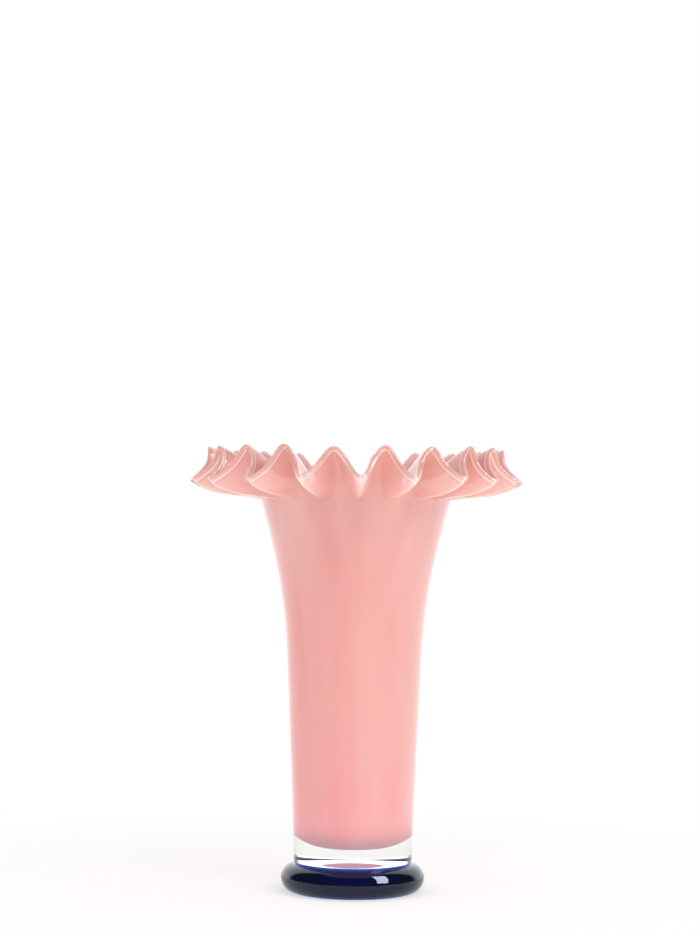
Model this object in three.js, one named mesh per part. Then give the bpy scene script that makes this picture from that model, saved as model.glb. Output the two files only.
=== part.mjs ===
// Ruffled vase in cased glass: a pink opal lining inside clear glass, its mouth crimped into a collar
// of pleats, standing on an applied ring of cobalt blue glass.
// Millimetres, +Z up, origin at the centre of the circle on which the foot stands.
// The front of the vase looks along -Y.

import * as THREE from 'three';

const { degToRad, lerp } = THREE.MathUtils;

// Body, outside
const TOTAL_HEIGHT = 300; // table to the highest crest of the ruffle
const COLLAR_HEIGHT = 36; // neck to that crest
const NECK_RADIUS = 64.9; // where the collar starts
const NECK_SPREAD = degToRad(15.1); // lean of the wall there
const TAPER_TOP_HEIGHT = 150; // the straight taper turns into the flare here
const TAPER_TOP_RADIUS = 45.7;
const BASE_RADIUS = 40.3; // just above the rounded heel
const HEEL_WIDTH = 4.2; // the heel is a quarter of an ellipse
const HEEL_HEIGHT = 6.6;
const FLARE_START_EASE = 0.45; // fullness of the flare, as shares of its rise
const FLARE_END_EASE = 0.38;

// Ruffle: crests stand up, tips between them are drawn out and down
const RUFFLE_COUNT = 20;
const RUFFLE_DEPTH = 21.1; // crests above tips, at the edge
const CREST_REACH = 35.5; // edge beyond the neck, at the crests
const TIP_REACH = 48.5; // and at the tips
const CREST_LEAN = degToRad(23); // slope of the collar at its edge, above level
const TIP_LEAN = degToRad(30);
const CREST_CURL = 28.7; // length over which the collar turns to that slope
const TIP_CURL = 26.5;
const ROOT_CURL = 6.5;
const CREST_ROUNDNESS = 0.64; // higher rounds the wave off, lower leaves it pointed
const TIP_ROUNDNESS = 0.23;
const KEEL_SHARPNESS = 3.2; // higher makes the keel that runs out to each tip narrower
const FIRST_CREST_ANGLE = degToRad(-98.3);
const BACK_CROWDING = degToRad(4.1); // crimped by hand, so closer together at the back
const SPACING_WOBBLE = degToRad(1.1);
const RIM_ROUNDING = 1.2; // fire-polished bulge of the edge

// How far each crest and tip strays from an even rim, round from the first crest. Turns are in degrees
// round the axis and lifts in millimetres. The highest crests have a lift of 0.
const CREST_TURNS = [
  0, 0.2, 0.1, 1.2, -0.1, -0.3, -0.2, 0.4, -0.5, 0.3, -0.2, 0.6, -0.4, 0.2, -0.3, 0.1, 0.3, 1.3, 1.3, -0.2,
];
const TIP_TURNS = [
  0.4, -0.4, 0.3, -2, -0.8, 0.2, -0.3, 0.5, -0.2, 0.4, -0.6, 0.2, 0.5, -0.4, 0.3, -0.3, 0.6, -1.5, -0.4, -0.2,
];
const CREST_LIFTS = [
  -1.5, -0.6, -1, 0, 0, -0.9, -0.2, -0.7, -1.1, -0.4, -0.9, -0.6, -1.2, -0.5, -0.8, -0.4, 0, -0.2, 0, 0,
];
const TIP_LIFTS = [
  0.9, 0.3, 0.7, -0.4, -0.1, 0, -0.5, 0.3, -0.4, 0, 0.4, -0.3, -0.6, 0.2, -0.1, 0.2, 0, -0.8, -0.4, 1,
];

// Walls
const CASING_WALL = 2.8;
const CASING_RIM_WALL = 1.8;
const LINING_WALL = 1.8;
const LINING_RIM_WALL = 1.4;
const FIT_GAP = 0.3; // between the lining and the casing, and between the heel and the foot
const BASE_THICKNESS = 12; // solid clear glass under the lining
const BUBBLE_CORNER_WIDTH = 30; // the lining's rounded bottom
const BUBBLE_CORNER_HEIGHT = 34;
const PONTIL_RADIUS = 30; // wide polished hollow under the base, where the iron was broken off
const PONTIL_DEPTH = 3;

// Foot ring
const FOOT_PROJECTION = 8.3; // beyond the base of the body
const FOOT_BAND_RADIUS = 9.95; // radius of the ring's round section
const GROUND_WIDTH = 7; // flat ground on its underside
const SEAT_DEPTH = 0.7; // the body sinks this far into the crest of the ring

// Fineness of the model, as shares of one ruffle and of one line up the collar
const RUFFLE_SHARES = [0, 0.1, 0.25, 0.39, 0.5, 0.61, 0.75, 0.9]; // closest at crest and tip
const COLLAR_SHARES = [0.14, 0.34, 0.56, 0.79]; // the edge itself comes after these
const PONTIL_SHARES = [0.55, 1];
const EDGE_SHARE = 0.5; // the rounded edge has one line within each wall
const TAPER_STEPS = 1;
const FLARE_STEPS = 4;
const CORNER_STEPS = 3;
const FOOT_ARC_STEPS = 6;
const FOOT_SEGMENTS = 60;

// Heights and radii that follow from the foot up
const footMiddleRadius = BASE_RADIUS + FOOT_PROJECTION - FOOT_BAND_RADIUS;
const footMiddleHeight = Math.sqrt(FOOT_BAND_RADIUS ** 2 - (GROUND_WIDTH / 2) ** 2);
const footCrestHeight = footMiddleHeight + FOOT_BAND_RADIUS;
const seatHeight = footCrestHeight - SEAT_DEPTH;
const heelTopHeight = seatHeight + HEEL_HEIGHT;
const floorHeight = seatHeight + BASE_THICKNESS;
const bubbleTopHeight = floorHeight + BUBBLE_CORNER_HEIGHT;
const neckHeight = TOTAL_HEIGHT - COLLAR_HEIGHT;

// Outline of the body as radius against height: a straight taper, then a flare tangent to it
const taper = new THREE.LineCurve(
  new THREE.Vector2(BASE_RADIUS, heelTopHeight),
  new THREE.Vector2(TAPER_TOP_RADIUS, TAPER_TOP_HEIGHT),
);
const flareRise = neckHeight - TAPER_TOP_HEIGHT;
const taperLean = taper.getTangent(1);
const flare = new THREE.CubicBezierCurve(
  taper.v2,
  taper.v2.clone().addScaledVector(taperLean, (FLARE_START_EASE * flareRise) / taperLean.y),
  new THREE.Vector2(
    NECK_RADIUS - FLARE_END_EASE * flareRise * Math.tan(NECK_SPREAD),
    neckHeight - FLARE_END_EASE * flareRise,
  ),
  new THREE.Vector2(NECK_RADIUS, neckHeight),
);

// A point of the outline, moved inwards to a depth in the glass
function atDepth(curve, share, depth) {
  const lean = curve.getTangent(share);
  return curve.getPoint(share).addScaledVector(new THREE.Vector2(-lean.y, lean.x), depth);
}

// Even shares of a whole, ending at 1
function evenShares(count) {
  return Array.from({ length: count }, (_, i) => (i + 1) / count);
}

// The wall at one depth in the glass, from a height on the taper up to the neck
function wallOutline(depth, fromHeight) {
  const first = (fromHeight - heelTopHeight) / (TAPER_TOP_HEIGHT - heelTopHeight);
  return [
    atDepth(taper, first, depth),
    ...evenShares(TAPER_STEPS).map((share) => atDepth(taper, lerp(first, 1, share), depth)),
    ...evenShares(FLARE_STEPS).map((share) => atDepth(flare, share, depth)),
  ];
}

// A cup: a flat bottom, a corner that is a quarter of an ellipse, and the wall above it
function cupOutline(depth, fromHeight, bottomHeight, cornerWidth) {
  const wall = wallOutline(depth, fromHeight);
  const [wallFoot] = wall;
  const corner = [0, ...evenShares(CORNER_STEPS).slice(0, -1)].map((share) => {
    const turn = (share * Math.PI) / 2;
    return new THREE.Vector2(
      wallFoot.x - cornerWidth * (1 - Math.sin(turn)),
      bottomHeight + (wallFoot.y - bottomHeight) * (1 - Math.cos(turn)),
    );
  });
  return [...corner, ...wall];
}

// A place in the ruffle counts from the first crest: whole places are crests, halves are tips.
// Smooth swing from 0 at a crest to 1 at a tip
function towardTip(place) {
  return (1 - Math.cos(2 * Math.PI * place)) / 2;
}

// The same with flanks that run nearly straight from the round crest to the sharper tip
function downFlank(place) {
  const middle = (TIP_ROUNDNESS - CREST_ROUNDNESS) / 2;
  const swing = 1 - (CREST_ROUNDNESS + TIP_ROUNDNESS) / 2;
  const atCrest = Math.acos(middle + swing);
  const atTip = Math.acos(middle - swing);
  return (Math.acos(middle + swing * Math.cos(2 * Math.PI * place)) - atCrest) / (atTip - atCrest);
}

// How far the rim strays at a place, between its nearest crest and tip
function strayed(crests, tips, place) {
  const around = (index) => (index + RUFFLE_COUNT) % RUFFLE_COUNT;
  return lerp(crests[around(Math.round(place))], tips[around(Math.floor(place))], towardTip(place));
}

// Angle round the vase
function angleAt(place) {
  const turn = (2 * Math.PI * place) / RUFFLE_COUNT;
  const unevenness = BACK_CROWDING * Math.sin(turn) + SPACING_WOBBLE * (Math.cos(2 * turn) - 1);
  return FIRST_CREST_ANGLE + turn + unevenness + degToRad(strayed(CREST_TURNS, TIP_TURNS, place));
}

function aroundAxis(outlinePoint, place) {
  const angle = angleAt(place);
  return new THREE.Vector3(
    outlinePoint.x * Math.cos(angle),
    outlinePoint.x * Math.sin(angle),
    outlinePoint.y,
  );
}

const collarPlaces = Array.from({ length: RUFFLE_COUNT }, (_, ruffle) =>
  RUFFLE_SHARES.map((share) => ruffle + share),
).flat();
const wallPlaces = collarPlaces.filter((_, i) => i % 2 === 0);

function wallRing(outlinePoint) {
  return wallPlaces.map((place) => aroundAxis(outlinePoint, place));
}

// The rounded edge of the collar runs over both walls. A distance is measured outwards from the face
// where pink meets clear, and the bulge is how far the edge stands out there.
const casingEdge = [CASING_RIM_WALL, CASING_RIM_WALL * EDGE_SHARE, 0];
const liningEdge = [0, EDGE_SHARE, 1].map((share) => -FIT_GAP - LINING_RIM_WALL * share);
const edgeHalf = (CASING_RIM_WALL + FIT_GAP + LINING_RIM_WALL) / 2;
const edgeMiddle = CASING_RIM_WALL - edgeHalf;

function edgeBulge(distance) {
  const across = (distance - edgeMiddle) / edgeHalf;
  return RIM_ROUNDING * Math.sqrt(Math.max(0, 1 - across ** 2));
}

const crestRises = [...casingEdge, ...liningEdge].map(
  (distance) => edgeBulge(distance) * Math.sin(CREST_LEAN) - distance * Math.cos(CREST_LEAN),
);
const crestHeight = TOTAL_HEIGHT - Math.max(...crestRises);

// The collar is built on the face where pink meets clear. Every line from the neck to the edge has
// about the same length, swung up to a crest or down and outwards to a drawn tip.
const collarRoot = atDepth(flare, 1, CASING_WALL);
const rootTurn = collarRoot
  .clone()
  .add(new THREE.Vector2(ROOT_CURL * Math.sin(NECK_SPREAD), ROOT_CURL * Math.cos(NECK_SPREAD)));

// The last two control points of a collar line: where its final curl starts, and its end
function collarEnd(reach, height, lean, curl) {
  const end = new THREE.Vector2(NECK_RADIUS + reach - CASING_RIM_WALL * Math.sin(lean), height);
  const curlStart = new THREE.Vector2(end.x - curl * Math.cos(lean), end.y - curl * Math.sin(lean));
  return { curlStart, end };
}

const crest = collarEnd(CREST_REACH, crestHeight, CREST_LEAN, CREST_CURL);
const tip = collarEnd(TIP_REACH, crestHeight - RUFFLE_DEPTH, TIP_LEAN, TIP_CURL);

function collarLine(place) {
  const keel = towardTip(place) ** KEEL_SHARPNESS;
  const down = downFlank(place);
  const lift = strayed(CREST_LIFTS, TIP_LIFTS, place);
  return new THREE.CubicBezierCurve(
    collarRoot,
    rootTurn,
    new THREE.Vector2(
      lerp(crest.curlStart.x, tip.curlStart.x, keel),
      lerp(crest.curlStart.y, tip.curlStart.y, down),
    ),
    new THREE.Vector2(
      lerp(crest.end.x, tip.end.x, keel),
      lerp(crest.end.y, tip.end.y, down) + lift,
    ),
  );
}

function collarPoint(share, place) {
  return aroundAxis(collarLine(place).getPoint(share), place);
}

// A ring round the collar at a share of the way out, moved off the face along its outward normal and
// past the edge by the bulge
function collarRing(share, distance, bulge = 0) {
  const near = 1e-3;
  return collarPlaces.map((place) => {
    const along = collarPoint(Math.min(1, share + near), place)
      .sub(collarPoint(share - near, place))
      .normalize();
    const outward = collarPoint(share, place + near)
      .sub(collarPoint(share, place - near))
      .cross(along)
      .normalize();
    return collarPoint(share, place).addScaledVector(outward, distance).addScaledVector(along, bulge);
  });
}

// Rings from the neck to short of the edge, while the wall tapers from one thickness to the other
function collarRings(neckDistance, edgeDistance) {
  return COLLAR_SHARES.map((share) => collarRing(share, lerp(neckDistance, edgeDistance, share)));
}

function edgeRings(distances) {
  return distances.map((distance) => collarRing(1, distance, edgeBulge(distance)));
}

// Triangles between two rings of points. Each panel is split along its shorter diagonal, and a ring
// may have half or twice the points of the other.
function bandTriangles(low, high) {
  const triangles = [];
  for (let i = 0; i < Math.min(low.count, high.count); i += 1) {
    if (low.count < high.count) {
      triangles.push(low.index(i), low.index(i + 1), high.index(2 * i + 1));
      triangles.push(low.index(i), high.index(2 * i + 1), high.index(2 * i));
      triangles.push(low.index(i + 1), high.index(2 * i + 2), high.index(2 * i + 1));
    } else if (low.count > high.count) {
      triangles.push(low.index(2 * i), low.index(2 * i + 1), high.index(i));
      triangles.push(low.index(2 * i + 1), low.index(2 * i + 2), high.index(i + 1));
      triangles.push(low.index(2 * i + 1), high.index(i + 1), high.index(i));
    } else if (low.point(i).distanceTo(high.point(i + 1)) < low.point(i + 1).distanceTo(high.point(i))) {
      triangles.push(low.index(i), low.index(i + 1), high.index(i + 1));
      triangles.push(low.index(i), high.index(i + 1), high.index(i));
    } else {
      triangles.push(low.index(i), low.index(i + 1), high.index(i));
      triangles.push(low.index(i + 1), high.index(i + 1), high.index(i));
    }
  }
  return triangles;
}

// Joins rings into one closed skin, from the middle of the underside, up the outside, over the edge
// and down to the middle of the inside
function closedSkin(undersideMiddle, rings, insideMiddle) {
  const points = [undersideMiddle, ...rings.flat(), insideMiddle];
  const lastIndex = points.length - 1;
  let firstIndex = 1;
  const levels = rings.map((ring) => {
    const start = firstIndex;
    firstIndex += ring.length;
    return {
      count: ring.length,
      index: (i) => start + (i % ring.length),
      point: (i) => ring[i % ring.length],
    };
  });
  const bottom = levels[0];
  const top = levels[levels.length - 1];
  const triangles = [
    ...rings[0].flatMap((_, i) => [0, bottom.index(i + 1), bottom.index(i)]),
    ...levels.slice(1).flatMap((level, i) => bandTriangles(levels[i], level)),
    ...rings[rings.length - 1].flatMap((_, i) => [top.index(i), top.index(i + 1), lastIndex]),
  ];

  const geometry = new THREE.BufferGeometry().setFromPoints(points);
  geometry.setIndex(triangles);
  geometry.computeVertexNormals();
  return geometry;
}

function glassMesh(name, geometry, color, roughness, opacity = 1) {
  const material = new THREE.MeshStandardMaterial({
    color,
    roughness,
    metalness: 0,
    opacity,
    transparent: opacity < 1,
  });
  const mesh = new THREE.Mesh(geometry, material);
  mesh.name = name;
  return mesh;
}

// Clear casing: a thick base with a rounded heel and a polished pontil hollow, the outside of the
// body and the outer layer of the collar
function makeClearCasing() {
  const pontil = PONTIL_SHARES.map(
    (share) => new THREE.Vector2(PONTIL_RADIUS * share, seatHeight + PONTIL_DEPTH * (1 - share ** 2)),
  );
  const outside = cupOutline(0, heelTopHeight, seatHeight, HEEL_WIDTH);
  const well = cupOutline(CASING_WALL, bubbleTopHeight, floorHeight, BUBBLE_CORNER_WIDTH);
  return closedSkin(
    new THREE.Vector3(0, 0, seatHeight + PONTIL_DEPTH),
    [
      ...[...pontil, ...outside].map(wallRing),
      ...collarRings(CASING_WALL, CASING_RIM_WALL),
      ...edgeRings(casingEdge),
      ...collarRings(0, 0).reverse(),
      ...well.map(wallRing).reverse(),
    ],
    new THREE.Vector3(0, 0, floorHeight),
  );
}

// Pink lining: the blown bubble that holds the water, standing on the floor of the casing's well,
// with the inner layer of the collar
function makePinkLining() {
  const outsideDepth = CASING_WALL + FIT_GAP;
  const insideDepth = outsideDepth + LINING_WALL;
  const insideFloor = floorHeight + LINING_WALL;
  const insideCorner = BUBBLE_CORNER_WIDTH - LINING_WALL;
  const outside = cupOutline(outsideDepth, bubbleTopHeight, floorHeight, BUBBLE_CORNER_WIDTH);
  const inside = cupOutline(insideDepth, bubbleTopHeight, insideFloor, insideCorner);
  return closedSkin(
    new THREE.Vector3(0, 0, floorHeight),
    [
      ...outside.map(wallRing),
      ...collarRings(-FIT_GAP, -FIT_GAP),
      ...edgeRings(liningEdge),
      ...collarRings(-FIT_GAP - LINING_WALL, -FIT_GAP - LINING_RIM_WALL).reverse(),
      ...inside.map(wallRing).reverse(),
    ],
    new THREE.Vector3(0, 0, insideFloor),
  );
}

// Foot ring: a round band with an open middle, ground flat below and pressed into a shallow recess
// above, where the heel of the body sits
function makeBlueFoot() {
  const heelShare = (heelTopHeight - footCrestHeight) / HEEL_HEIGHT;
  const heelRadius = BASE_RADIUS - HEEL_WIDTH * (1 - Math.sqrt(1 - heelShare ** 2));
  const recessRadius = heelRadius + FIT_GAP;

  const groundAngle = Math.asin(footMiddleHeight / FOOT_BAND_RADIUS);
  const lipAngle = Math.acos((recessRadius - footMiddleRadius) / FOOT_BAND_RADIUS);
  const seatAngle = Math.asin((seatHeight - footMiddleHeight) / FOOT_BAND_RADIUS);
  const bandArc = (from, to) =>
    [0, ...evenShares(FOOT_ARC_STEPS)].map((share) => {
      const angle = lerp(from, to, share);
      return new THREE.Vector2(
        footMiddleRadius + FOOT_BAND_RADIUS * Math.cos(angle),
        footMiddleHeight + FOOT_BAND_RADIUS * Math.sin(angle),
      );
    });
  const profile = [
    ...bandArc(-groundAngle, lipAngle),
    new THREE.Vector2(recessRadius, seatHeight),
    ...bandArc(Math.PI - seatAngle, Math.PI + groundAngle),
  ];
  profile.push(profile[0]);
  return new THREE.LatheGeometry(profile, FOOT_SEGMENTS).rotateX(Math.PI / 2);
}

const vase = new THREE.Group();
vase.add(
  glassMesh('clear_casing', makeClearCasing(), 0xf4f6f5, 0.04, 0.35),
  glassMesh('pink_lining', makePinkLining(), 0xf2aba6, 0.12),
  glassMesh('blue_foot', makeBlueFoot(), 0x141b3a, 0.05),
);

export default vase;
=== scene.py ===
"""Looks of the ruffled vase: pink opal glass inside clear glass, on a cobalt blue foot ring.

The three glasses are fused. Where two of them meet, the surface of the inner one lies a hair inside the
outer one, so that light passes from glass to glass with no air between them. Lengths are in millimetres
until the meshes are made.
"""

import math

import bpy
import numpy as np
from mathutils import Matrix, Quaternion, Vector


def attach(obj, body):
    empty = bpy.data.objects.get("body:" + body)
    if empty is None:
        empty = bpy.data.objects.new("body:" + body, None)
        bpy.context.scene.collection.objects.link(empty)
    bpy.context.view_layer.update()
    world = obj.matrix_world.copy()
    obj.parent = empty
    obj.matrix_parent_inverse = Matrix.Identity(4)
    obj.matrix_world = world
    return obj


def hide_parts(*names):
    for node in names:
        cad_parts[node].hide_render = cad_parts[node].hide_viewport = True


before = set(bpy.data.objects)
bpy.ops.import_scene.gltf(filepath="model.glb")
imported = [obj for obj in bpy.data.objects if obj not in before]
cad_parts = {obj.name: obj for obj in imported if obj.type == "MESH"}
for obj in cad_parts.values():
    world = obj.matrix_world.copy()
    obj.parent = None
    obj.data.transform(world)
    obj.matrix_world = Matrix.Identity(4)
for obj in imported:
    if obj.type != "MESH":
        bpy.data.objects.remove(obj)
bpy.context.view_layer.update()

MM = 0.001

# Body, outside
TOTAL_HEIGHT = 300
COLLAR_HEIGHT = 36
NECK_RADIUS = 64.9
NECK_SPREAD = math.radians(15.1)
TAPER_TOP_HEIGHT = 150
TAPER_TOP_RADIUS = 45.7
BASE_RADIUS = 40.3
TAPER_START = 6.6  # above the seat
HEEL_WIDTH = 2.6
HEEL_HEIGHT = 3.4
FLARE_START_EASE = 0.45
FLARE_END_EASE = 0.38

# Ruffle
RUFFLE_COUNT = 20
RUFFLE_DEPTH = 21.1
CREST_REACH = 35.5
TIP_REACH = 48.5
CREST_LEAN = math.radians(23)
TIP_LEAN = math.radians(30)
CREST_CURL = 28.7
TIP_CURL = 26.5
ROOT_CURL = 6.5
CREST_ROUNDNESS = 0.64
TIP_ROUNDNESS = 0.23
KEEL_SHARPNESS = 3.2
FIRST_CREST_ANGLE = math.radians(-98.3)
BACK_CROWDING = math.radians(4.1)
SPACING_WOBBLE = math.radians(1.1)
RIM_ROUNDING = 1.2

# How the hand-crimped crests and tips stray from an even rim: turns in degrees, lifts in millimetres
CREST_TURNS = np.radians(
    [0, 0.2, 0.1, 1.2, -0.1, -0.3, -0.2, 0.4, -0.5, 0.3]
    + [-0.2, 0.6, -0.4, 0.2, -0.3, 0.1, 0.3, 1.3, 1.3, -0.2]
)
TIP_TURNS = np.radians(
    [0.4, -0.4, 0.3, -2, -0.8, 0.2, -0.3, 0.5, -0.2, 0.4]
    + [-0.6, 0.2, 0.5, -0.4, 0.3, -0.3, 0.6, -1.5, -0.4, -0.2]
)
CREST_LIFTS = np.array(
    [-1.5, -0.6, -1, 0, 0, -0.9, -0.2, -0.7, -1.1, -0.4]
    + [-0.9, -0.6, -1.2, -0.5, -0.8, -0.4, 0, -0.2, 0, 0]
)
TIP_LIFTS = np.array(
    [0.9, 0.3, 0.7, -0.4, -0.1, 0, -0.5, 0.3, -0.4, 0]
    + [0.4, -0.3, -0.6, 0.2, -0.1, 0.2, 0, -0.8, -0.4, 1]
)

# Walls
CASING_WALL = 2.8
CASING_RIM_WALL = 1.8
LINING_WALL = 1.8
LINING_RIM_WALL = 1.4
FUSED = 0.1  # the pink surface lies this far inside the clear glass
FOLD_SKIN = 0.4  # clear glass left over the pink that fills the folds under the tips
FOLD_SHARPNESS = 6
FOLD_FILL = ((0.05, 0), (0.3, 1), (0.93, 1), (0.985, 0))  # by share of the way from neck to edge
BASE_THICKNESS = 12
BUBBLE_CORNER_WIDTH = 30
BUBBLE_CORNER_HEIGHT = 34
PONTIL_RADIUS = 30
PONTIL_DEPTH = 4.2

# Foot ring
FOOT_PROJECTION = 8.3
FOOT_BAND_RADIUS = 9.95
GROUND_WIDTH = 7
SEAT_DEPTH = 0.7
RUN_UP_TURN = math.radians(60)  # the blue glass runs up the heel to here, round its quarter ellipse
RUN_UP_FROM = math.radians(45)
RUN_UP_FILM = 0.3
RUN_UP_END_FILM = 0.04
RUN_UP_WIDTH = 1.1
FILLET_CORNER = (0.2, 0.03)  # out from the film and up from the band
LIT_TOP = math.radians(5)  # how far the thin, light-filled edge reaches down the band
LIT_BOTTOM = math.radians(12)

# Fineness
SAMPLES_PER_RUFFLE = 24
TAPER_STEPS = 8
FLARE_STEPS = 26
CORNER_STEPS = 24
HEEL_STEPS = 12
COLLAR_STEPS = 26
RIM_SHARES = (0.945, 0.955, 0.962, 0.969, 0.976, 0.983, 0.991)
EDGE_STEPS = 5
EDGE_SEARCH_STEPS = 40
PONTIL_STEPS = 8
FOOT_ARC_STEPS = 60
FILLET_STEPS = 5
RUN_UP_STEPS = 4
JOINT_STEPS = 6
FOOT_SEGMENTS = 256
TOUCH = 1e-6

foot_middle_radius = BASE_RADIUS + FOOT_PROJECTION - FOOT_BAND_RADIUS
foot_middle_height = math.sqrt(FOOT_BAND_RADIUS**2 - (GROUND_WIDTH / 2) ** 2)
foot_crest_height = foot_middle_height + FOOT_BAND_RADIUS
seat_height = foot_crest_height - SEAT_DEPTH
heel_top_height = seat_height + HEEL_HEIGHT
floor_height = seat_height + BASE_THICKNESS
bubble_top_height = floor_height + BUBBLE_CORNER_HEIGHT
neck_height = TOTAL_HEIGHT - COLLAR_HEIGHT


def bezier(points, t):
    """Point and direction of a Bezier curve of two or four control points."""
    points = [np.asarray(p, float) for p in points]
    if len(points) == 2:
        return points[0] + (points[1] - points[0]) * t, points[1] - points[0]
    a, b, c, d = points
    s = 1 - t
    point = a * s**3 + 3 * b * s * s * t + 3 * c * s * t * t + d * t**3
    slope = 3 * ((b - a) * s * s + 2 * (c - b) * s * t + (d - c) * t * t)
    return point, slope


taper_start_height = seat_height + TAPER_START
taper = [(BASE_RADIUS, taper_start_height), (TAPER_TOP_RADIUS, TAPER_TOP_HEIGHT)]
flare_rise = neck_height - TAPER_TOP_HEIGHT
taper_slope = (TAPER_TOP_RADIUS - BASE_RADIUS) / (TAPER_TOP_HEIGHT - taper_start_height)
heel_radius = BASE_RADIUS - taper_slope * (taper_start_height - heel_top_height)
flare = [
    taper[1],
    (
        TAPER_TOP_RADIUS + FLARE_START_EASE * flare_rise * taper_slope,
        TAPER_TOP_HEIGHT + FLARE_START_EASE * flare_rise,
    ),
    (
        NECK_RADIUS - FLARE_END_EASE * flare_rise * math.tan(NECK_SPREAD),
        neck_height - FLARE_END_EASE * flare_rise,
    ),
    (NECK_RADIUS, neck_height),
]


def at_depth(curve, share, depth):
    """Point of an outline, moved square to it by a depth into the wall."""
    point, slope = bezier(curve, share)
    slope = slope / np.linalg.norm(slope)
    return point + depth * np.array([-slope[1], slope[0]])


def wall_outline(depth, from_height):
    """The body's outline at a depth, from a height on the taper up to the neck."""
    first = (from_height - taper_start_height) / (TAPER_TOP_HEIGHT - taper_start_height)
    points = [at_depth(taper, s, depth) for s in np.linspace(first, 1, TAPER_STEPS + 1)]
    return points + [at_depth(flare, s, depth) for s in np.linspace(0, 1, FLARE_STEPS + 1)[1:]]


def cup_outline(depth, from_height, bottom_height, corner_width, corner_steps):
    """The same with a quarter ellipse below it, which turns in to a flat bottom."""
    wall = wall_outline(depth, from_height)
    foot = wall[0]
    turns = np.linspace(0, math.pi / 2, corner_steps + 1)[:-1]
    corner = [
        np.array(
            [
                foot[0] - corner_width * (1 - math.sin(turn)),
                bottom_height + (foot[1] - bottom_height) * (1 - math.cos(turn)),
            ]
        )
        for turn in turns
    ]
    return corner + wall


places = np.arange(RUFFLE_COUNT * SAMPLES_PER_RUFFLE) / SAMPLES_PER_RUFFLE


def blend_to(a, b, share):
    return a + (b - a) * share


def by_share(share, table):
    """Value at a share of the way from the neck to the edge, between the entries of a table."""
    return np.interp(share, *zip(*table))


def toward_tip(place):
    """Smooth swing from 0 at a crest to 1 at a tip."""
    return (1 - np.cos(2 * math.pi * place)) / 2


def down_flank(place):
    """The same with flanks that run nearly straight from the round crest to the sharper tip."""
    middle = (TIP_ROUNDNESS - CREST_ROUNDNESS) / 2
    swing = 1 - (CREST_ROUNDNESS + TIP_ROUNDNESS) / 2
    at_crest, at_tip = math.acos(middle + swing), math.acos(middle - swing)
    return (np.arccos(middle + swing * np.cos(2 * math.pi * place)) - at_crest) / (at_tip - at_crest)


def strayed(crests, tips, place):
    """How far a place on the rim strays, between its own crest and tip."""
    crest = crests[np.rint(place).astype(int) % RUFFLE_COUNT]
    tip = tips[np.floor(place).astype(int) % RUFFLE_COUNT]
    return blend_to(crest, tip, toward_tip(place))


def angle_at(place):
    turn = 2 * math.pi * place / RUFFLE_COUNT
    uneven = BACK_CROWDING * np.sin(turn) + SPACING_WOBBLE * (np.cos(2 * turn) - 1)
    return FIRST_CREST_ANGLE + turn + uneven + strayed(CREST_TURNS, TIP_TURNS, place)


def around_axis(radius, height, angle):
    radius, height = np.broadcast_to(radius, angle.shape), np.broadcast_to(height, angle.shape)
    return np.stack([radius * np.cos(angle), radius * np.sin(angle), height], axis=-1)


def wall_ring(point):
    return around_axis(point[0], point[1], angle_at(places))


edge_half = (CASING_RIM_WALL + LINING_RIM_WALL) / 2
edge_middle = CASING_RIM_WALL - edge_half


def edge_bulge(distance):
    across = (distance - edge_middle) / edge_half
    return RIM_ROUNDING * math.sqrt(max(0, 1 - across**2))


crest_rise = max(
    edge_bulge(d) * math.sin(CREST_LEAN) - d * math.cos(CREST_LEAN)
    for d in np.linspace(-LINING_RIM_WALL, CASING_RIM_WALL, EDGE_SEARCH_STEPS + 1)
)
crest_height = TOTAL_HEIGHT - crest_rise

collar_root = at_depth(flare, 1, CASING_WALL)
root_turn = collar_root + ROOT_CURL * np.array([math.sin(NECK_SPREAD), math.cos(NECK_SPREAD)])


def collar_end(reach, height, lean, curl):
    end = np.array([NECK_RADIUS + reach - CASING_RIM_WALL * math.sin(lean), height])
    return end - curl * np.array([math.cos(lean), math.sin(lean)]), end


crest_curl_start, crest_end = collar_end(CREST_REACH, crest_height, CREST_LEAN, CREST_CURL)
tip_curl_start, tip_end = collar_end(
    TIP_REACH, crest_height - RUFFLE_DEPTH, TIP_LEAN, TIP_CURL
)


def collar_points(share, place):
    """Points where clear and pink glass meet, at a share of the way from the neck to the edge."""
    keel = toward_tip(place) ** KEEL_SHARPNESS
    down = down_flank(place)
    s, t = 1 - share, share
    weights = (s**3, 3 * s * s * t, 3 * s * t * t, t**3)
    radii = (
        collar_root[0],
        root_turn[0],
        blend_to(crest_curl_start[0], tip_curl_start[0], keel),
        blend_to(crest_end[0], tip_end[0], keel),
    )
    heights = (
        collar_root[1],
        root_turn[1],
        blend_to(crest_curl_start[1], tip_curl_start[1], down),
        blend_to(crest_end[1], tip_end[1], down) + strayed(CREST_LIFTS, TIP_LIFTS, place),
    )
    radius = sum(w * r for w, r in zip(weights, radii))
    height = sum(w * h for w, h in zip(weights, heights))
    return around_axis(radius, height, angle_at(place))


def unit(v):
    return v / np.linalg.norm(v, axis=-1, keepdims=True)


def collar_ring(share, distance, bulge=0.0):
    """The same, moved outward by a distance and on past the edge by a bulge."""
    near = 1e-4
    along = unit(collar_points(share + near, places) - collar_points(share - near, places))
    around = collar_points(share, places + near) - collar_points(share, places - near)
    outward = unit(np.cross(around, along))
    return collar_points(share, places) + outward * np.asarray(distance)[..., None] + along * bulge


collar_shares = [*np.linspace(0, 1, COLLAR_STEPS + 1)[1:-2], *RIM_SHARES]


def collar_rings(neck_distance, edge_distance):
    return [collar_ring(s, blend_to(neck_distance, edge_distance, s)) for s in collar_shares]


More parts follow.
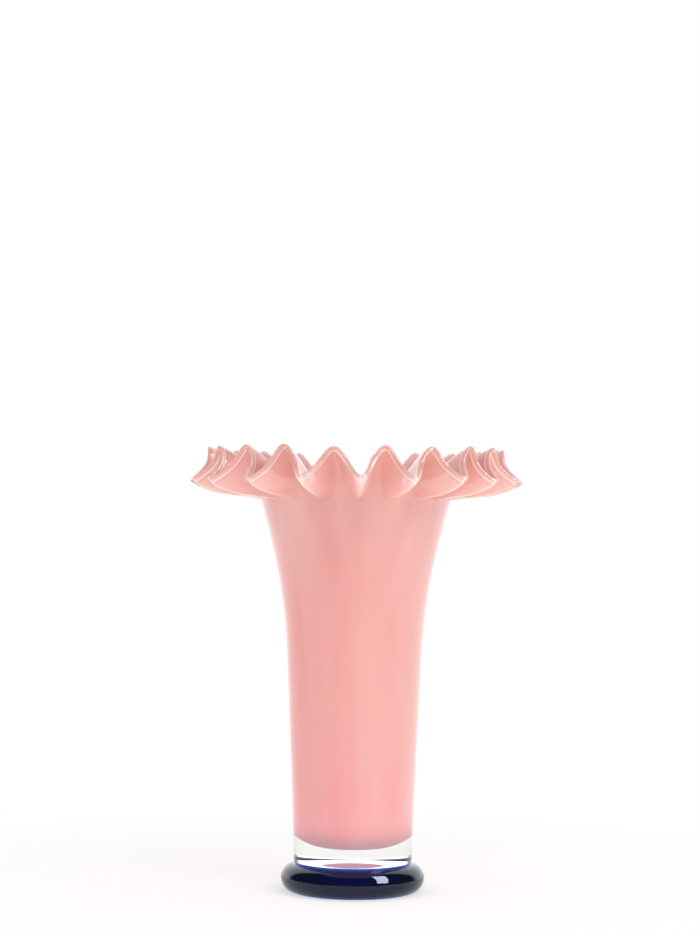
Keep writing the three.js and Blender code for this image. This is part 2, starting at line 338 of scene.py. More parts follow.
def cased_depth(share):
    """How far the pink stands out into the clear glass: it fills the sharp folds under the tips."""
    clear = blend_to(CASING_WALL, CASING_RIM_WALL, share) - FUSED - FOLD_SKIN
    return FUSED + clear * by_share(share, FOLD_FILL) * toward_tip(places) ** FOLD_SHARPNESS


def edge_rings(first, last):
    """Over the rounded edge, from one face of a wall to the other."""
    return [collar_ring(1, d, edge_bulge(d)) for d in np.linspace(first, last, EDGE_STEPS + 1)]


def mesh_object(name, points, faces, slots, materials):
    mesh = bpy.data.meshes.new(name)
    mesh.from_pydata([tuple(p) for p in np.asarray(points) * MM], [], faces)
    for material in materials:
        mesh.materials.append(material)
    mesh.polygons.foreach_set("material_index", slots)
    mesh.polygons.foreach_set("use_smooth", [True] * len(faces))
    mesh.update()
    obj = bpy.data.objects.new(name, mesh)
    bpy.context.scene.collection.objects.link(obj)
    return obj


def skin(rings, slots, bottom=None, top=None):
    """Joins rings into one closed skin. slots gives the material of each band between two rings. With a
    bottom and a top point the ends are closed, and without them the last ring joins the first."""
    count = len(rings[0])
    points = [p for ring in rings for p in ring]
    i = np.arange(count)
    j = (i + 1) % count
    faces, face_slots = [], []
    pairs = list(zip(range(len(rings) - 1), range(1, len(rings))))
    if bottom is None:
        pairs.append((len(rings) - 1, 0))
    for (low, high), slot in zip(pairs, slots):
        quads = np.stack([low * count + i, low * count + j, high * count + j, high * count + i], 1)
        faces += quads.tolist()
        face_slots += [slot] * count
    if bottom is not None:
        points += [bottom, top]
        under, inside = len(points) - 2, len(points) - 1
        last = (len(rings) - 1) * count
        faces += [(under, int(b), int(a)) for a, b in zip(i, j)]
        faces += [(last + int(a), last + int(b), inside) for a, b in zip(i, j)]
        face_slots += [slots[0]] * count + [slots[len(rings) - 2]] * count
    return points, faces, face_slots


# Materials

# The pink at heights above the table, in 8-bit sRGB numbers. It holds painted light: lighter and mauve
# at the bottom, as painted light against the shade there and the blue light of the foot, and darker on
# the neck under the collar, as painted shade
PINKS_AND_PAINTED_LIGHT = (
    (31, (255, 188, 214)),
    (38, (255, 168, 174)),
    (60, (255, 163, 164)),
    (88, (255, 164, 162)),
    (128, (251, 164, 160)),
    (169, (246, 161, 157)),
    (223, (234, 157, 153)),
    (262, (220, 158, 153)),
    (288, (225, 171, 162)),
)
PALE_STREAK = (255, 214, 202)
# paler lobes: partly thinner glass at the tips, partly painted light where the lobes face the lit floor
PALE_LIT_LOBE = (250, 194, 187)
# painted highlight: the white lines of the rim's clear rounding and of the keels
PAINTED_HIGHLIGHT = (255, 240, 234)
# painted shade: the darker salmon lines that the rounded clear edge shows by refraction
SEAM_SHADE = (224, 128, 120)
DEEP_BLUE = (56, 78, 160)
# painted light: the glow of light through the foot's thin edges
LIT_BLUE = (40, 104, 214)

# The glass, in linear colours
CLEAR_TINT = (0.968, 0.968, 0.962, 1)
LAMPLIGHT_TINT = (0.97, 0.98, 0.975, 1)  # what the clear glass leaves of light on its way to the pink
GLINT_TINT = (0.7, 0.78, 1.0, 1)  # of reflections in the blue glass
COBALT = (0.083, 0.583, 0.9, 1)
COBALT_DENSITY = 1250.0
GLASS_IOR = 1.5
POLISH = 0.01
BLUE_TRANSMISSION = 0.93
# the lit edges, with their painted light, let little through
LIT_TRANSMISSION = 0.03

# Noise in the glass: how fine it is, and how much of that is left along the vase
CLEAR_WAVES = (38, 0.22)
BROAD_STREAKS = (34, 0.08)
FINE_STREAKS = (150, 0.03)
BLUE_WAVES = (60, 1.0)
FINE_SHARE = 0.35
STREAK_EDGE = (0.5, 0.85)  # noise at which a streak starts, and at which it is palest
STREAK_SHARE = 0.3
CLEAR_RIPPLE = {"Strength": 0.12, "Distance": 0.0012}
BLUE_RIPPLE = {"Strength": 0.03, "Distance": 0.001}

# How the pink glass takes light: under the clear glass, open to the air, and below its surface
CASED_GLOSS = {"Roughness": 0.6, "Specular IOR Level": 0.0}
OPEN_GLOSS = {"Roughness": 0.12, "Specular IOR Level": 0.3}
OPAL_SCATTER = {
    "Subsurface Weight": 0.35,
    "Subsurface Radius": (1.0, 0.45, 0.35),
    "Subsurface Scale": 0.004,
}

# How strongly the collar is marked, by share of the way from the neck to the edge: its paler lobes,
# partly thin glass and partly painted light, and its painted shade lines and painted highlights
# paler lobes: thinner glass and painted light
THINNED_AND_LIT = ((0, 0), (0.3, 0.15), (0.8, 1), (1, 1))
# painted light: the inside of the collar, which lies in shade, made paler
INSIDE_PAINTED_LIGHT = ((0.2, 0), (0.6, 0.75))
# painted shade lines near the edge, where the rounded clear glass bends the view
RIM_SEAM_SHADE = ((0.945, 0), (0.955, 0.4), (0.962, 0), (0.983, 0), (0.991, 0.12))
# painted highlight along the rounded rim
RIM_HIGHLIGHT = ((0.962, 0), (0.969, 0.65), (0.976, 0.65), (0.983, 0))
# painted highlight along the keels
KEEL_HIGHLIGHT = ((0.15, 0), (0.45, 0.45), (1, 0.65))
LOBE_SHARPNESS = 1.6

# Sockets of a Mix node: A and B, for colours and for numbers, and the mixed colour it gives
COLOUR_A, COLOUR_B = 6, 7
NUMBER_A, NUMBER_B = 2, 3
MIXED_COLOUR = 2


def new_material(name):
    material = bpy.data.materials.new(name)
    material.use_nodes = True
    material.node_tree.nodes.clear()
    return material, material.node_tree.nodes, material.node_tree.links


def add(nodes, kind, values=(), **settings):
    node = nodes.new(kind)
    for key, value in settings.items():
        setattr(node, key, value)
    for key, value in dict(values).items():
        node.inputs[key].default_value = value
    return node


def linear(r, g, b):
    """A colour given as 8-bit sRGB numbers, as Blender's linear colour."""
    return tuple(
        c / 12.92 if c <= 0.04045 else ((c + 0.055) / 1.055) ** 2.4
        for c in (r / 255, g / 255, b / 255)
    ) + (1.0,)


def streaks(nodes, links, scale, stretch):
    """Noise drawn out along the vase, as hot glass is."""
    coords = add(nodes, "ShaderNodeTexCoord")
    mapping = add(nodes, "ShaderNodeMapping", {"Scale": (1, 1, stretch)})
    noise = add(nodes, "ShaderNodeTexNoise", {"Scale": scale, "Detail": 3.0})
    links.new(coords.outputs["Object"], mapping.inputs["Vector"])
    links.new(mapping.outputs["Vector"], noise.inputs["Vector"])
    return noise


def marked(nodes, links, mark, colour, paint):
    """The colour, mixed to another one as far as the mesh is marked."""
    amount = add(nodes, "ShaderNodeAttribute", attribute_name=mark)
    mix = add(nodes, "ShaderNodeMix", data_type="RGBA")
    links.new(amount.outputs["Fac"], mix.inputs[0])
    if isinstance(colour, tuple):
        mix.inputs[COLOUR_A].default_value = colour
    else:
        links.new(colour, mix.inputs[COLOUR_A])
    mix.inputs[COLOUR_B].default_value = paint
    return mix.outputs[MIXED_COLOUR]


def lets_lamps_through(nodes, links, glass):
    """Glass that light from lamps and from pale surfaces passes on its way to what lies inside it."""
    path = add(nodes, "ShaderNodeLightPath")
    either = add(nodes, "ShaderNodeMath", operation="MAXIMUM")
    clear = add(nodes, "ShaderNodeBsdfTransparent", {"Color": LAMPLIGHT_TINT})
    mix = add(nodes, "ShaderNodeMixShader")
    links.new(path.outputs["Is Shadow Ray"], either.inputs[0])
    links.new(path.outputs["Is Diffuse Ray"], either.inputs[1])
    links.new(either.outputs[0], mix.inputs[0])
    links.new(glass, mix.inputs[1])
    links.new(clear.outputs[0], mix.inputs[2])
    return mix.outputs[0]


def clear_glass():
    material, nodes, links = new_material("clear_glass")
    noise = streaks(nodes, links, *CLEAR_WAVES)
    bump = add(nodes, "ShaderNodeBump", CLEAR_RIPPLE)
    glass = add(
        nodes,
        "ShaderNodeBsdfPrincipled",
        {
            "Base Color": CLEAR_TINT,
            "Roughness": POLISH,
            "IOR": GLASS_IOR,
            "Transmission Weight": 1.0,
        },
    )
    links.new(noise.outputs["Fac"], bump.inputs["Height"])
    links.new(bump.outputs["Normal"], glass.inputs["Normal"])
    out = add(nodes, "ShaderNodeOutputMaterial")
    links.new(lets_lamps_through(nodes, links, glass.outputs[0]), out.inputs["Surface"])
    return material


def fused_joint():
    """Where clear glass runs into blue glass: nothing to see but what lies behind."""
    material, nodes, links = new_material("fused_joint")
    clear = add(nodes, "ShaderNodeBsdfTransparent")
    out = add(nodes, "ShaderNodeOutputMaterial")
    links.new(clear.outputs[0], out.inputs["Surface"])
    return material


def pink_glass(name, cased):
    """Opal glass with streaks that run up the vase, coloured by height with painted light and shade. Its
    lobes pale, partly where it was drawn out thin and partly as painted light, with painted shade lines
    and painted highlights. Where it is cased, the clear glass over it has the gloss."""
    material, nodes, links = new_material(name)
    coords = add(nodes, "ShaderNodeTexCoord")
    split = add(nodes, "ShaderNodeSeparateXYZ")
    # the pink by height, with its painted light at the bottom and painted shade under the collar
    up = add(nodes, "ShaderNodeMapRange", {"From Min": 0.0, "From Max": TOTAL_HEIGHT * MM})
    ramp = add(nodes, "ShaderNodeValToRGB")
    stops = ramp.color_ramp.elements
    stops[0].position, stops[0].color = PINKS_AND_PAINTED_LIGHT[0][0] / TOTAL_HEIGHT, linear(*PINKS_AND_PAINTED_LIGHT[0][1])
    stops[1].position, stops[1].color = PINKS_AND_PAINTED_LIGHT[-1][0] / TOTAL_HEIGHT, linear(*PINKS_AND_PAINTED_LIGHT[-1][1])
    for height, colour in PINKS_AND_PAINTED_LIGHT[1:-1]:
        stops.new(height / TOTAL_HEIGHT).color = linear(*colour)
    broad = streaks(nodes, links, *BROAD_STREAKS)
    fine = streaks(nodes, links, *FINE_STREAKS)
    both = add(nodes, "ShaderNodeMath", {1: FINE_SHARE}, operation="MULTIPLY_ADD")
    share = add(
        nodes,
        "ShaderNodeMapRange",
        {"From Min": STREAK_EDGE[0], "From Max": STREAK_EDGE[1], "To Max": STREAK_SHARE},
    )
    mix = add(nodes, "ShaderNodeMix", data_type="RGBA")
    gloss = CASED_GLOSS if cased else OPEN_GLOSS
    opal = add(nodes, "ShaderNodeBsdfPrincipled", {**gloss, **OPAL_SCATTER})
    links.new(coords.outputs["Object"], split.inputs[0])
    links.new(split.outputs["Z"], up.inputs["Value"])
    links.new(up.outputs["Result"], ramp.inputs["Fac"])
    links.new(fine.outputs["Fac"], both.inputs[0])
    links.new(broad.outputs["Fac"], both.inputs[2])
    links.new(both.outputs[0], share.inputs["Value"])
    links.new(share.outputs["Result"], mix.inputs[0])
    links.new(ramp.outputs["Color"], mix.inputs[COLOUR_A])
    mix.inputs[COLOUR_B].default_value = linear(*PALE_STREAK)
    colour = mix.outputs[MIXED_COLOUR]
    # paler lobes (thin glass and painted light), painted shade lines and painted highlights, over the
    # pink
    for mark, paint in (("thinned_and_lit", PALE_LIT_LOBE), ("seam_shade", SEAM_SHADE), ("painted_highlight", PAINTED_HIGHLIGHT)):
        colour = marked(nodes, links, mark, colour, linear(*paint))
    links.new(colour, opal.inputs["Base Color"])
    out = add(nodes, "ShaderNodeOutputMaterial")
    links.new(opal.outputs[0], out.inputs["Surface"])
    return material


def blue_glass():
    """Cobalt glass that swallows light on its way through. Thin edges, marked lit, get painted light: a
    bright blue colour in place of the light that shines through them, and the joint with the clear
    glass, marked fused, isn't seen."""
    material, nodes, links = new_material("blue_glass")
    noise = streaks(nodes, links, *BLUE_WAVES)
    bump = add(nodes, "ShaderNodeBump", BLUE_RIPPLE)
    glass = add(
        nodes,
        "ShaderNodeBsdfPrincipled",
        {"Specular Tint": GLINT_TINT, "Roughness": POLISH, "IOR": GLASS_IOR},
    )
    tint = marked(nodes, links, "lit", linear(*DEEP_BLUE), linear(*LIT_BLUE))
    lit = add(nodes, "ShaderNodeAttribute", attribute_name="lit")
    solid = add(
        nodes,
        "ShaderNodeMath",
        {1: LIT_TRANSMISSION - BLUE_TRANSMISSION, 2: BLUE_TRANSMISSION},
        operation="MULTIPLY_ADD",
    )
    links.new(tint, glass.inputs["Base Color"])
    links.new(lit.outputs["Fac"], solid.inputs[0])
    links.new(solid.outputs[0], glass.inputs["Transmission Weight"])
    links.new(noise.outputs["Fac"], bump.inputs["Height"])
    links.new(bump.outputs["Normal"], glass.inputs["Normal"])
    fused = add(nodes, "ShaderNodeAttribute", attribute_name="fused")
    clear = add(nodes, "ShaderNodeBsdfTransparent")
    mix = add(nodes, "ShaderNodeMixShader")
    absorb = add(
        nodes, "ShaderNodeVolumeAbsorption", {"Color": COBALT, "Density": COBALT_DENSITY}
    )
    out = add(nodes, "ShaderNodeOutputMaterial")
    links.new(fused.outputs["Fac"], mix.inputs[0])
    links.new(glass.outputs[0], mix.inputs[1])
    links.new(clear.outputs[0], mix.inputs[2])
    links.new(mix.outputs[0], out.inputs["Surface"])
    links.new(absorb.outputs[0], out.inputs["Volume"])
    return material


# Pieces

CLEAR, JOINT = 0, 1
CASED, OPEN = 0, 1
SHARP_ANGLE = math.radians(40)
hole_at_seat = foot_middle_radius - math.sqrt(
    FOOT_BAND_RADIUS**2 - (seat_height - foot_middle_height) ** 2
)


def heel_point(turn, depth=0):
    """Point of the heel's outline, from 0 under the base to a quarter turn on the body's side."""
    inward = np.array([-HEEL_HEIGHT * math.sin(turn), HEEL_WIDTH * math.cos(turn)])
    surface = np.array(
        [
            heel_radius - HEEL_WIDTH * (1 - math.sin(turn)),
            seat_height + HEEL_HEIGHT * (1 - math.cos(turn)),
        ]
    )
    return surface + depth * inward / np.linalg.norm(inward)


joint_top = heel_point(RUN_UP_TURN)


def make_clear_casing():
    pontil = [
        (PONTIL_RADIUS * s, seat_height + PONTIL_DEPTH * (1 - s**2))
        for s in np.linspace(0, 1, PONTIL_STEPS + 1)[1:]
    ]
    pontil.append((hole_at_seat, seat_height))
    outside = cup_outline(0, heel_top_height, seat_height, HEEL_WIDTH, HEEL_STEPS)
    well = cup_outline(
        CASING_WALL, bubble_top_height, floor_height, BUBBLE_CORNER_WIDTH, CORNER_STEPS
    )
    rings = [wall_ring(p) for p in pontil + outside]
    slots = []
    for a, b in zip(pontil + outside, (pontil + outside)[1:]):
        under_foot = min(a[0], b[0]) >= hole_at_seat - TOUCH
        in_joint = under_foot and max(a[1], b[1]) < joint_top[1] + TOUCH
        slots.append(JOINT if in_joint else CLEAR)
    rings += collar_rings(CASING_WALL, CASING_RIM_WALL)
    rings += edge_rings(CASING_RIM_WALL, 0)
    rings += collar_rings(0, 0)[::-1]
    rings += [wall_ring(p) for p in well[::-1]]
    slots += [CLEAR] * (len(rings) - 1 - len(slots))
    points, faces, face_slots = skin(
        rings, slots, (0, 0, seat_height + PONTIL_DEPTH), (0, 0, floor_height)
    )
    obj = mesh_object(
        "casing_glass", points, faces, face_slots, [clear_glass(), fused_joint()]
    )
    obj.data.set_sharp_from_angle(angle=SHARP_ANGLE)
    return obj


def collar_marks(shares, cased_count):
    """How much each point of the lining, ring by ring, has of the collar's paler lobes, partly thin
    glass and partly painted light, of painted light on the shaded inside, and of painted shade lines and
    painted highlights at the rim and keels. The first rings, as many as are cased, are on the outside."""
    tip = toward_tip(places)
    keel = (places % 1 == 0.5).astype(float)
    thinned_and_lit, seam_shade, painted_highlight = [], [], []
    for number, share in enumerate(shares):
        pale = tip**LOBE_SHARPNESS * by_share(share, THINNED_AND_LIT)
        if number >= cased_count:
            pale = np.maximum(pale, by_share(share, INSIDE_PAINTED_LIGHT))
        thinned_and_lit.append(pale)
        seam_shade.append(np.full(len(places), by_share(share, RIM_SEAM_SHADE)))
        # painted highlight along each keel
        keel_highlight = keel * by_share(share, KEEL_HIGHLIGHT)
        painted_highlight.append(np.maximum(by_share(share, RIM_HIGHLIGHT), keel_highlight))
    return {
        "thinned_and_lit": np.concatenate(thinned_and_lit),
        "seam_shade": np.concatenate(seam_shade),
        "painted_highlight": np.concatenate(painted_highlight),
    }


def make_pink_lining():
    outside_depth = CASING_WALL - FUSED
    inside_depth = CASING_WALL + LINING_WALL
    inside_floor = floor_height + LINING_WALL
    inside_corner = BUBBLE_CORNER_WIDTH - LINING_WALL
    outside = cup_outline(
        outside_depth,
        bubble_top_height,
        floor_height - FUSED,
        BUBBLE_CORNER_WIDTH,
        CORNER_STEPS,
    )
    inside = cup_outline(
        inside_depth, bubble_top_height, inside_floor, inside_corner, CORNER_STEPS
    )
    rings = [wall_ring(p) for p in outside]
    rings += [collar_ring(s, cased_depth(s)) for s in collar_shares]
    cased_bands = len(rings)
    edge = edge_rings(FUSED, -LINING_RIM_WALL)
    rings += edge
    rings += collar_rings(-LINING_WALL, -LINING_RIM_WALL)[::-1]
    rings += [wall_ring(p) for p in inside[::-1]]
    shares = [0] * len(outside) + collar_shares + [1] * len(edge) + collar_shares[::-1]
    shares += [0] * len(inside)
    slots = [CASED] * cased_bands + [OPEN] * (len(rings) - 1 - cased_bands)
    points, faces, face_slots = skin(
        rings, slots, (0, 0, floor_height - FUSED), (0, 0, inside_floor)
    )
    obj = mesh_object(
        "lining_glass",
        points,
        faces,
        face_slots,
        [pink_glass("pink_cased", True), pink_glass("pink_open", False)],
    )
    for mark, amounts in collar_marks(shares, cased_bands).items():
        attribute = obj.data.attributes.new(mark, "FLOAT", "POINT")
        attribute.data.foreach_set("value", np.append(amounts, [0, 0]).astype(np.float32))
    return obj


def make_blue_foot():
    ground = math.asin(foot_middle_height / FOOT_BAND_RADIUS)
    run_up_radius = heel_point(RUN_UP_FROM)[0] + RUN_UP_WIDTH
    run_up_start = math.acos((run_up_radius - foot_middle_radius) / FOOT_BAND_RADIUS)
    seat = math.asin((seat_height + FUSED - foot_middle_height) / FOOT_BAND_RADIUS)

    def band(start, end):
        return [
            (
                foot_middle_radius + FOOT_BAND_RADIUS * math.cos(a),
                foot_middle_height + FOOT_BAND_RADIUS * math.sin(a),
            )
            for a in np.linspace(start, end, FOOT_ARC_STEPS + 1)
        ]

    outer = band(-ground, run_up_start)
    film = [
        heel_point(turn, -depth)
        for turn, depth in zip(
            np.linspace(RUN_UP_FROM, RUN_UP_TURN, RUN_UP_STEPS + 1),
            np.linspace(RUN_UP_FILM, RUN_UP_END_FILM, RUN_UP_STEPS + 1),
        )
    ]
    start = np.array(outer[-1])
    corner = np.array([film[0][0] + FILLET_CORNER[0], start[1] + FILLET_CORNER[1]])
    fillet = [
        start * (1 - s) ** 2 + corner * 2 * s * (1 - s) + film[0] * s * s
        for s in np.linspace(0, 1, FILLET_STEPS + 1)[1:-1]
    ]
    run_up = fillet + film
    joint = [heel_point(turn, FUSED) for turn in np.linspace(RUN_UP_TURN, 0, JOINT_STEPS + 1)]
    inner = band(math.pi - seat, math.pi + ground)
    profile = outer + run_up + joint + inner
    angles = np.linspace(0, 2 * math.pi, FOOT_SEGMENTS, endpoint=False)
    rings = [around_axis(r, z, angles) for r, z in profile]
    points, faces, face_slots = skin(rings, [0] * len(rings))
    obj = mesh_object("foot_glass", points, faces, face_slots, [blue_glass()])
    obj.data.set_sharp_from_angle(angle=SHARP_ANGLE)
    fused = obj.data.attributes.new("fused", "FLOAT", "CORNER")
    first = len(outer) + len(run_up) - 1
    last = first + len(joint) + 1
    per_band = FOOT_SEGMENTS * 4
    values = np.zeros(len(obj.data.loops), np.float32)
    values[first * per_band : last * per_band] = 1
    fused.data.foreach_set("value", values)
    # where the painted light of the thin edges goes, along the band and up the heel
    turns = np.linspace(-ground, run_up_start, FOOT_ARC_STEPS + 1)
    lit_top = np.interp(turns, [run_up_start - LIT_TOP, run_up_start], [0, 1])
    lit_bottom = np.interp(turns, [-ground, LIT_BOTTOM - ground], [1, 0])
    lit = np.zeros((len(profile), FOOT_SEGMENTS), np.float32)
    lit[: len(outer)] = np.maximum(lit_top, lit_bottom)[:, None]
    lit[len(outer) : len(outer) + len(run_up)] = 1
    attribute = obj.data.attributes.new("lit", "FLOAT", "POINT")
    attribute.data.foreach_set("value", lit.ravel())
    return obj


casing = make_clear_casing()
lining = make_pink_lining()
foot = make_blue_foot()
for piece, node, slot in (
    (casing, "clear_casing", "clear_glass"),
    (lining, "pink_lining", "pink_glass"),
    (foot, "blue_foot", "blue_glass"),
):
    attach(piece, "root")
    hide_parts(node)


# Floor, light and camera, in metres

BACKDROP_GLARE = 1.6  # the backdrop's brightness in reflections
FLOOR_SIZE = 60
FLOOR_DROP = 0.00005
FLOOR_PAINT = 0.65
FLOOR_LIFT = 0.56  # what the eye sees beyond the floor's own paint
FLOOR_BOUNCE = 1.06  # and what it sends up onto the vase
FLOOR_FADE = (0.08, 0.5)  # where it goes over into plain white, from the middle
AMBIENT = 0.54
DARK_FRONT = 0.06
BACKDROP_EDGE = (0.4, 0.6)  # cosine of the heading from straight behind, where the backdrop starts
CEILING_EDGE = (0.85, 0.97)  # height part of the direction, where the pale ceiling starts
LAMP_DISTANCE = 2.0
LAMP_TARGET = Vector((0, 0, 0.15))


def seen_rays(nodes, links):
    """1 for rays that show a surface to the eye, straight or by gloss or through glass, and else 0."""
    path = add(nodes, "ShaderNodeLightPath")
    first = add(nodes, "ShaderNodeMath", operation="MAXIMUM")
    second = add(nodes, "ShaderNodeMath", operation="MAXIMUM")
    links.new(path.outputs["Is Camera Ray"], first.inputs[0])
    links.new(path.outputs["Is Glossy Ray"], first.inputs[1])
    links.new(first.outputs[0], second.inputs[0])
    links.new(path.outputs["Is Transmission Ray"], second.inputs[1])
    return second.outputs[0]


def make_floor():
    """White, with the vase's shadow. Near the vase it has paint and a glow, further out only a glow."""
    bpy.ops.mesh.primitive_plane_add(size=FLOOR_SIZE, location=(0, 0, -FLOOR_DROP))
    floor = bpy.context.object
    floor.name = "floor"
    material, nodes, links = new_material("floor")
    diffuse = add(nodes, "ShaderNodeBsdfDiffuse", {"Color": (FLOOR_PAINT, FLOOR_PAINT, FLOOR_PAINT, 1)})
    seen = seen_rays(nodes, links)
    path = add(nodes, "ShaderNodeLightPath")
    glow = add(nodes, "ShaderNodeEmission", {"Color": (1, 1, 1, 1)})
    lift = add(nodes, "ShaderNodeMath", {1: FLOOR_LIFT}, operation="MULTIPLY")
    bounce = add(nodes, "ShaderNodeMath", {1: FLOOR_BOUNCE}, operation="MULTIPLY_ADD")
    near = add(nodes, "ShaderNodeAddShader")
    far = add(nodes, "ShaderNodeEmission", {"Color": (1, 1, 1, 1)})
    outside = add(nodes, "ShaderNodeMath", {0: 1.0}, operation="SUBTRACT")
    mirrored = add(nodes, "ShaderNodeMath", operation="MULTIPLY")
    glare = add(nodes, "ShaderNodeMath", {1: BACKDROP_GLARE - 1, 2: 1.0}, operation="MULTIPLY_ADD")
    mix = add(nodes, "ShaderNodeMixShader")
    coords = add(nodes, "ShaderNodeTexCoord")
    length = add(nodes, "ShaderNodeVectorMath", operation="LENGTH")
    fade = add(
        nodes,
        "ShaderNodeMapRange",
        {"From Min": FLOOR_FADE[0], "From Max": FLOOR_FADE[1]},
        interpolation_type="SMOOTHSTEP",
    )
    share = add(nodes, "ShaderNodeMath", operation="MULTIPLY")
    out = add(nodes, "ShaderNodeOutputMaterial")
    links.new(seen, lift.inputs[0])
    links.new(path.outputs["Is Diffuse Ray"], bounce.inputs[0])
    links.new(lift.outputs[0], bounce.inputs[2])
    links.new(bounce.outputs[0], glow.inputs["Strength"])
    links.new(path.outputs["Is Transmission Ray"], outside.inputs[1])
    links.new(path.outputs["Is Glossy Ray"], mirrored.inputs[0])
    links.new(outside.outputs[0], mirrored.inputs[1])
    links.new(mirrored.outputs[0], glare.inputs[0])
    links.new(glare.outputs[0], far.inputs["Strength"])
    links.new(diffuse.outputs[0], near.inputs[0])
    links.new(glow.outputs[0], near.inputs[1])
    links.new(coords.outputs["Object"], length.inputs[0])
    links.new(length.outputs["Value"], fade.inputs["Value"])
    links.new(fade.outputs["Result"], share.inputs[0])
    links.new(seen, share.inputs[1])
    links.new(share.outputs[0], mix.inputs[0])
    links.new(near.outputs[0], mix.inputs[1])
    links.new(far.outputs[0], mix.inputs[2])
    links.new(mix.outputs[0], out.inputs["Surface"])
    floor.data.materials.append(material)


def make_world():
    """Even light. Glossy surfaces mirror a bright backdrop, a dark room in front and a pale ceiling."""
    world = bpy.data.worlds.new("studio")
    bpy.context.scene.world = world
    world.use_nodes = True
    nodes, links = world.node_tree.nodes, world.node_tree.links
    nodes.clear()
    path = add(nodes, "ShaderNodeLightPath")
    coords = add(nodes, "ShaderNodeTexCoord")
    level = add(nodes, "ShaderNodeVectorMath", {1: (1, 1, 0)}, operation="MULTIPLY")
    heading = add(nodes, "ShaderNodeVectorMath", operation="NORMALIZE")
    across = add(nodes, "ShaderNodeSeparateXYZ")
    upward = add(nodes, "ShaderNodeSeparateXYZ")
    backdrop = add(
        nodes,
        "ShaderNodeMapRange",
        {
            "From Min": BACKDROP_EDGE[0],
            "From Max": BACKDROP_EDGE[1],
            "To Min": DARK_FRONT,
            "To Max": BACKDROP_GLARE,
        },
        interpolation_type="SMOOTHSTEP",
    )
    ceiling = add(
        nodes,
        "ShaderNodeMapRange",
        {"From Min": CEILING_EDGE[0], "From Max": CEILING_EDGE[1]},
        interpolation_type="SMOOTHSTEP",
    )
    brighter = add(nodes, "ShaderNodeMath", operation="MAXIMUM")
    seen = seen_rays(nodes, links)
    for_gloss = add(nodes, "ShaderNodeMix", data_type="FLOAT")
    for_light = add(nodes, "ShaderNodeMix", data_type="FLOAT")
    background = add(nodes, "ShaderNodeBackground", {"Color": (1, 1, 1, 1)})
    out = add(nodes, "ShaderNodeOutputWorld")
    links.new(coords.outputs["Generated"], level.inputs[0])
    links.new(level.outputs[0], heading.inputs[0])
    links.new(heading.outputs[0], across.inputs[0])
    links.new(across.outputs["Y"], backdrop.inputs["Value"])
    links.new(coords.outputs["Generated"], upward.inputs[0])
    links.new(upward.outputs["Z"], ceiling.inputs["Value"])
    links.new(backdrop.outputs["Result"], brighter.inputs[0])
    links.new(ceiling.outputs["Result"], brighter.inputs[1])
    links.new(path.outputs["Is Glossy Ray"], for_gloss.inputs[0])
    for_gloss.inputs[NUMBER_A].default_value = 1.0
    links.new(brighter.outputs[0], for_gloss.inputs[NUMBER_B])
    links.new(seen, for_light.inputs[0])
    for_light.inputs[NUMBER_A].default_value = AMBIENT
    links.new(for_gloss.outputs[0], for_light.inputs[NUMBER_B])
    links.new(for_light.outputs[0], background.inputs["Strength"])
    links.new(background.outputs[0], out.inputs["Surface"])


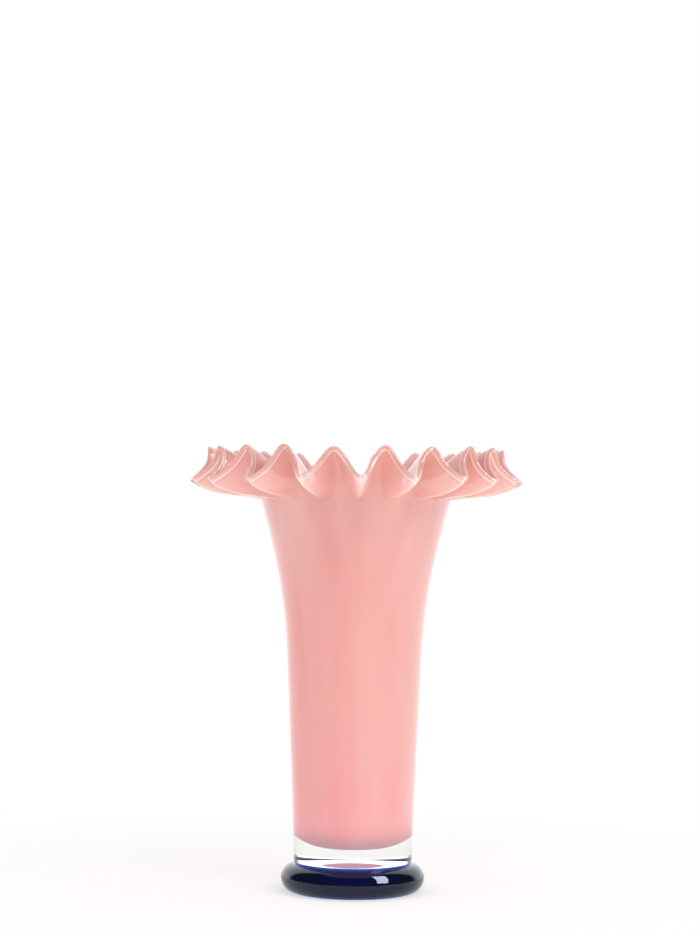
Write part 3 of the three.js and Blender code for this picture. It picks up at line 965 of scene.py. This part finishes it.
def softbox(name, azimuth, elevation, width, height, radiance, glossy, diffuse, roll=0):
    """A rectangular lamp that looks at the middle of the vase. Azimuth 0 is the camera's side."""
    light = bpy.data.lights.new(name, "AREA")
    light.shape = "RECTANGLE"
    light.size, light.size_y = width, height
    light.energy = radiance * math.pi * width * height
    obj = bpy.data.objects.new(name, light)
    bpy.context.scene.collection.objects.link(obj)
    a, e = math.radians(azimuth), math.radians(elevation)
    away = Vector((math.sin(a) * math.cos(e), -math.cos(a) * math.cos(e), math.sin(e)))
    obj.location = LAMP_TARGET + away * LAMP_DISTANCE
    obj.rotation_mode = "QUATERNION"
    obj.rotation_quaternion = away.to_track_quat("Z", "Y") @ Quaternion((0, 0, 1), math.radians(roll))
    obj.visible_camera = False
    obj.visible_glossy = glossy
    obj.visible_diffuse = diffuse
    obj.visible_transmission = False


FOCAL_PIXELS = 2400
FRAME_WIDTH, FRAME_HEIGHT = 700, 933
SENSOR = 36
CAMERA_DISTANCE = 1.633
CAMERA_HEIGHT = 0.2537
AXIS_PIXEL = (355.6, 516.1)  # where the vase's axis at the camera's height is seen
ROLL = math.radians(0.5)


def make_camera():
    across, down = AXIS_PIXEL[0] - FRAME_WIDTH / 2, AXIS_PIXEL[1] - FRAME_HEIGHT / 2
    c, s = math.cos(ROLL), math.sin(ROLL)
    level_across, level_down = c * across + s * down, c * down - s * across
    forward = Vector((-level_across / FOCAL_PIXELS, 1, level_down / FOCAL_PIXELS)).normalized()
    level_right = forward.cross(Vector((0, 0, 1))).normalized()
    level_up = level_right.cross(forward)
    right = c * level_right + s * level_up
    up = c * level_up - s * level_right
    data = bpy.data.cameras.new("camera")
    data.sensor_width = SENSOR
    data.lens = SENSOR * FOCAL_PIXELS / FRAME_HEIGHT
    data.clip_start, data.clip_end = 0.05, 100
    camera = bpy.data.objects.new("camera", data)
    turn = Matrix((right, up, -forward)).transposed().to_4x4()
    camera.matrix_world = Matrix.Translation((0, -CAMERA_DISTANCE, CAMERA_HEIGHT)) @ turn
    bpy.context.scene.collection.objects.link(camera)
    bpy.context.scene.camera = camera


make_floor()
make_world()
make_camera()
softbox("window", 57, 37, 0.66, 2.0, 17, True, False, roll=-17)
softbox("key", 38, 34, 1.2, 1.4, 1.35, False, True)
softbox("front_fill", -10, 5, 1.2, 1.4, 1.15, False, True)

scene = bpy.context.scene
scene.view_settings.view_transform = "Standard"
scene.cycles.use_denoising = True
scene.cycles.use_light_tree = False  # with it on, a dark streak shows up the back of the body
scene.cycles.max_bounces = 24
scene.cycles.diffuse_bounces = 5
scene.cycles.glossy_bounces = 8
scene.cycles.transmission_bounces = 16
scene.cycles.transparent_max_bounces = 24
scene.cycles.caustics_reflective = False
scene.cycles.caustics_refractive = False
scene.cycles.sample_clamp_indirect = 4
